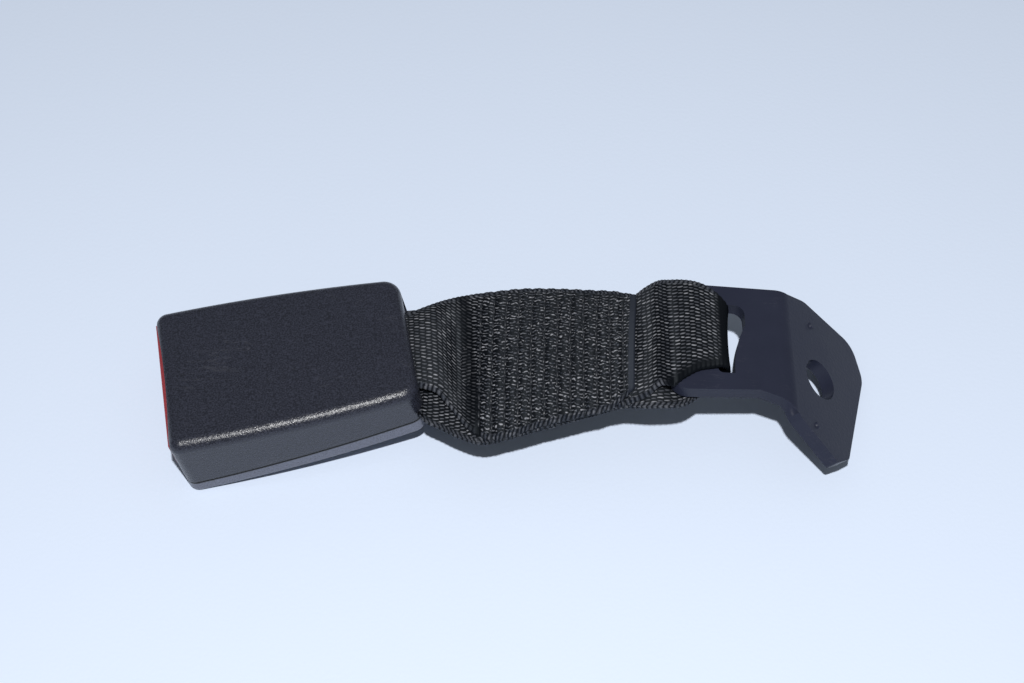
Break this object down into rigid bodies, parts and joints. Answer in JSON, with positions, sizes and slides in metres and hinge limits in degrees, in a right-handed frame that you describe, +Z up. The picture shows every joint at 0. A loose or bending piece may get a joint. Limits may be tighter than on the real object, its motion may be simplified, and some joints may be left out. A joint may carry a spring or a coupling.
{
  "type": "seat belt buckle",
  "caption": "Rear-seat belt buckle with a tapered black casing and an end release button, on a short stitched webbing stalk with a bent steel anchor plate.",
  "frame": {"origin": "centre of the whole part's footprint, on the surface it lies on", "axes": "+X from the release button along the webbing to the bolt tab, +Y across the webbing, +Z up, away from the surface"},
  "size_m": [0.1974, 0.054, 0.0325],
  "materials": {
    "grained_black_plastic": "fine leather grain",
    "red_plastic": "moulded",
    "smooth_black_plastic": "moulded",
    "white_plastic": "moulded acetal",
    "plated_steel": "zinc plated",
    "spring_steel": "drawn wire",
    "black_painted_steel": "satin black coat",
    "black_webbing": "twill weave"
  },
  "bodies": {
    "buckle": {"upper_cover": "grained_black_plastic", "lower_cover": "grained_black_plastic", "buckle_frame": "plated_steel", "spring_bridge": "plated_steel", "latch_axle": "plated_steel", "latch_spring": "spring_steel", "ejector_spring": "spring_steel", "button_spring_left": "spring_steel", "button_spring_right": "spring_steel", "tongue_guide": "smooth_black_plastic", "webbing_pin": "plated_steel", "pin_clip": "spring_steel", "webbing_buckle_loop": "black_webbing"},
    "button": {"release_button": "red_plastic"},
    "latch": {"latch": "plated_steel"},
    "ejector": {"ejector": "white_plastic"},
    "stalk": {"webbing_stitched_stalk": "black_webbing", "webbing_buckle_flex": "black_webbing"},
    "anchor": {"anchor_plate": "black_painted_steel", "webbing_anchor_loop": "black_webbing", "webbing_anchor_flex": "black_webbing"}
  },
  "joints": [
    {"name": "button_press", "type": "slide", "parent": "buckle", "child": "button", "axis": [0.971, 0.1747, 0.1633], "range_m": [0, 0.0055], "stiffness_N_per_m": 900, "springref_m": -0.004, "deforming": ["button_spring_left", "button_spring_right"]},
    {"name": "latch_lift", "type": "hinge", "parent": "buckle", "child": "latch", "pos_m": [-0.05108, 0.00311, 0.01825], "axis": [-0.1771, 0.9842, 0], "range_deg": [0, 4.2], "deforming": ["latch_spring"]},
    {"name": "ejector_slide", "type": "slide", "parent": "buckle", "child": "ejector", "axis": [0.971, 0.1747, 0.1633], "range_m": [0, 0.012], "stiffness_N_per_m": 400, "springref_m": -0.006, "deforming": ["ejector_spring"]},
    {"name": "stalk_flex", "type": "hinge", "parent": "buckle", "child": "stalk", "pos_m": [-0.02138, 0.00845, 0.02022], "axis": [0.0194, 0.9998, 0], "range_deg": [-25, 25], "deforming": ["webbing_buckle_flex"]},
    {"name": "anchor_swing", "type": "hinge", "parent": "stalk", "child": "anchor", "pos_m": [0.03618, 0.00733, 0.0273], "axis": [0.0194, 0.9998, 0], "range_deg": [-35, 35], "deforming": ["webbing_anchor_flex"]}
  ],
  "couplings": [
    {"joint": "latch_lift", "follows": "button_press", "rad_per_m": 13.327}
  ]
}
